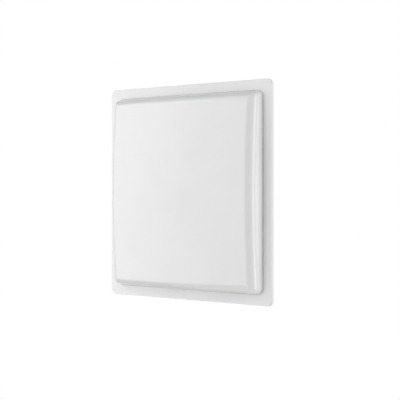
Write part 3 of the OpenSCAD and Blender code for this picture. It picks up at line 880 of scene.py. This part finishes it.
def label_material():
    """Satin film. A printed line shows where the distance to the frame or to one of the
    field lines is under half the line's width."""
    material = plastic("label_film", (0.80, 0.80, 0.79), (0.72, 0.72, 0.70), 0.34, 0.46,
                       grain=0.04)
    tree = material.node_tree
    link = tree.links.new
    place = node(tree, "ShaderNodeTexCoord")
    split = node(tree, "ShaderNodeSeparateXYZ")
    link(place.outputs["Object"], split.inputs[0])
    middle_z = (label_lo.z + label_hi.z) / 2

    def math_node(operation, first, second=0.0):
        made = tree.nodes.new("ShaderNodeMath")
        made.operation = operation
        for slot_index, value in enumerate((first, second)):
            if isinstance(value, float):
                made.inputs[slot_index].default_value = value
            else:
                link(value, made.inputs[slot_index])
        return made.outputs[0]

    across = math_node("ABSOLUTE", split.outputs["X"])
    up = math_node("SUBTRACT", split.outputs["Z"], middle_z)
    inner_x = label_hi.x - LABEL_MARGIN
    inner_z = (label_hi.z - label_lo.z) / 2 - LABEL_MARGIN
    over_x = math_node("SUBTRACT", across, inner_x)
    over_z = math_node("SUBTRACT", math_node("ABSOLUTE", up), inner_z)
    frame_line = math_node("ABSOLUTE", math_node("MAXIMUM", over_x, over_z))
    fields = math_node("PINGPONG", math_node("ADD", up, 4 * inner_z), inner_z / 3)
    inside = math_node("LESS_THAN", math_node("MAXIMUM", over_x, over_z), 0.0)
    field_line = math_node("MULTIPLY", math_node("LESS_THAN", fields, FIELD_LINE), inside)
    printed = math_node("MAXIMUM", math_node("LESS_THAN", frame_line, FRAME_LINE), field_line)
    ink = node(tree, "ShaderNodeMix", data_type="RGBA")
    ink.inputs["B"].default_value = (0.16, 0.17, 0.18, 1)
    base = tree.nodes["Principled BSDF"].inputs["Base Color"]
    link(base.links[0].from_socket, ink.inputs["A"])
    link(printed, ink.inputs["Factor"])
    link(ink.outputs["Result"], base)
    return material


print("label:", round(2 * label_hi.x / MM), "x", round((label_hi.z - label_lo.z) / MM), "mm")

# %% [markdown]
# ## Finishes for the pieces that the CAD model already has right
#
# A flat plate with true holes, a moulded spacer or a circuit board needs no new mesh. Each
# takes its finish by name.

# %% Materials on the carried-over nodes
CAD_FINISHES = {
    "back_plate": SHEET_METAL, "radiating_patch": PATCH_METAL, "edge_gasket": RUBBER,
    "spacer_pads": RUBBER, "jack_gasket": RUBBER, "centre_post": BRASS, "feed_probes": BRASS,
    "board_standoffs": BRASS, "post_washer": ZINC, "jack_nuts": ZINC, "jack_washers": ZINC,
    "patch_spacers": NYLON, "feed_board": LAMINATE, "feed_traces": COPPER,
    "load_resistor": CERAMIC, "jack_insulator": PTFE, "jack_contact": GOLD,
    "vent_membrane": VENT_FILM, "rating_label": label_material(),
}
for name, material in CAD_FINISHES.items():
    mesh = nodes[name].data
    mesh.materials.clear()
    mesh.materials.append(material)
print("finished CAD nodes:", len(CAD_FINISHES))

# %% [markdown]
# ## Studio
#
# The panel hangs at the height it has in a gate, in a plain white studio. The camera stands
# to the panel's right, about as far away as a person would, and level with its middle. From
# further off with a longer lens, the far side of the panel would look as tall as the near
# side. A small shift places the panel in the frame without tilting the camera.

# %% Camera
SENSOR_MM = 36
SHIFT_RIGHT = 0.0328
SHIFT_DOWN = 0.028
VIEW_TURN = math.radians(42.3)
VIEW_DISTANCE = 1.449
VIEW_RISE = 4.1 * MM
FOCAL_MM = 108.2
camera_data = bpy.data.cameras.new("camera")
camera_data.sensor_width = SENSOR_MM
camera_data.lens = FOCAL_MM
camera_data.shift_x = SHIFT_RIGHT
camera_data.shift_y = -SHIFT_DOWN
camera = bpy.data.objects.new("camera", camera_data)
bpy.context.scene.collection.objects.link(camera)
toward = Vector((math.sin(VIEW_TURN), -math.cos(VIEW_TURN), 0))
target = Vector((0, -FLANGE_DEPTH, 0))
camera.location = target + VIEW_DISTANCE * toward + Vector((0, 0, VIEW_RISE))
camera.rotation_euler = (-toward).to_track_quat("-Z", "Y").to_euler()
bpy.context.scene.camera = camera
print("camera at", [round(c, 3) for c in camera.location])

# %% [markdown]
# ### Lights
#
# White plastic shows its shape only through soft differences, so the lights are large
# softboxes set by angle round the panel. Seen from the camera, the face mirrors what stands
# to the panel's left, so two broad lights there make it glow and fade gently to the right.
# One above fills the upper ridge, and a narrow one to the right draws the bright line along
# the right ridge. The last three light the sides and the back. One big lamp over everything
# would be simpler, but it would leave the ridge and the face the same white.

# %% Lights
LIGHT_DISTANCE = 1.5
LIGHTS = {
    "key_left": (-58, 0, 30, 80, 13.0),
    "key_front": (-26, 0, 34, 70, 9.8),
    "fill_top": (-10, 50, 70, 30, 6.0),
    "strip_right": (75, 0, 12, 70, 11.0),
    "sweep_right": (110, 0, 30, 90, 12.0),
    "sweep_back": (180, 15, 60, 50, 7.0),
    "sweep_far": (-120, 0, 40, 70, 5.0),
}


def softbox(name, turn, rise, wide, tall, power):
    """An area light that faces the panel from LIGHT_DISTANCE. turn is its direction in
    degrees to the right of the panel's front, rise is degrees above it, and wide and tall
    are the angles that it fills as seen from the panel: a side is 2 distance tan(angle / 2)."""
    data = bpy.data.lights.new(name, "AREA")
    data.shape = "RECTANGLE"
    data.size = 2 * LIGHT_DISTANCE * math.tan(math.radians(wide / 2))
    data.size_y = 2 * LIGHT_DISTANCE * math.tan(math.radians(tall / 2))
    data.energy = power
    light = bpy.data.objects.new(name, data)
    light.visible_camera = False
    a, e = math.radians(turn), math.radians(rise)
    way = Vector((math.sin(a) * math.cos(e), -math.cos(a) * math.cos(e), math.sin(e)))
    light.location = target + LIGHT_DISTANCE * way
    light.rotation_euler = (-way).to_track_quat("-Z", "Y").to_euler()
    bpy.context.scene.collection.objects.link(light)


for name, values in LIGHTS.items():
    softbox(name, *values)
print("softboxes:", len(LIGHTS))

# %% [markdown]
# ### Surroundings
#
# The camera sees pure white behind the panel, as in front of a lit paper sweep, but so much
# white light from all sides would wash the shading out. The world therefore has two
# strengths: full white for what the camera sees, and a faint one for what lights the panel.

# %% White surroundings
AMBIENT = 0.14
world = bpy.data.worlds.new("white_sweep")
bpy.context.scene.world = world
world.use_nodes = True
tree = world.node_tree
soft = tree.nodes["Background"]
soft.inputs["Color"].default_value = (1, 1, 1, 1)
soft.inputs["Strength"].default_value = AMBIENT
white = node(tree, "ShaderNodeBackground", Color=(1, 1, 1, 1), Strength=1.0)
seen = node(tree, "ShaderNodeLightPath")
mix = node(tree, "ShaderNodeMixShader")
tree.links.new(seen.outputs["Is Camera Ray"], mix.inputs[0])
tree.links.new(soft.outputs[0], mix.inputs[1])
tree.links.new(white.outputs[0], mix.inputs[2])
tree.links.new(mix.outputs[0], tree.nodes["World Output"].inputs[0])
bpy.context.scene.view_settings.view_transform = "Standard"
print("ambient strength:", AMBIENT)

# %% [markdown]
# ### Floor
#
# A pale round floor lies well below the panel. A floor this far down gets little light from
# softboxes that face the panel, and would look grey, so a lamp just above it shines straight
# down and hides itself from the camera. The lamp is wider than the floor, which keeps the
# floor as light at its rim as in its middle. Its power is held a little under white, so that
# the white panel still stands out when it is seen from above.

# %% Floor and the light that washes it
FLOOR_SIDES = 96
FLOOR_DROP = 1.8
FLOOR_RADIUS = 1.6
WASH_HEIGHT = 0.4
WASH_RADIUS = 2.6
WASH_POWER = 30.0
turn = 2 * np.pi * np.arange(FLOOR_SIDES) / FLOOR_SIDES
edge = FLOOR_RADIUS * np.stack([np.cos(turn), np.sin(turn), 0 * turn], -1) - [0, 0, FLOOR_DROP]
floor_mesh = bpy.data.meshes.new("floor")
floor_mesh.from_pydata(edge, [], [list(range(len(edge)))])
floor_paint = bpy.data.materials.new("floor_paint")
floor_paint.use_nodes = True
floor_shader = floor_paint.node_tree.nodes["Principled BSDF"]
floor_shader.inputs["Base Color"].default_value = (0.82, 0.82, 0.81, 1)
floor_shader.inputs["Roughness"].default_value = 0.7
floor_mesh.materials.append(floor_paint)
floor = bpy.data.objects.new("floor", floor_mesh)
bpy.context.scene.collection.objects.link(floor)
wash_data = bpy.data.lights.new("floor_wash", "AREA")
wash_data.shape = "DISK"
wash_data.size = 2 * WASH_RADIUS
wash_data.energy = WASH_POWER
wash = bpy.data.objects.new("floor_wash", wash_data)
wash.location = (0, 0, WASH_HEIGHT - FLOOR_DROP)
wash.visible_camera = False
bpy.context.scene.collection.objects.link(wash)
print("floor", FLOOR_DROP, "m below the panel's middle")
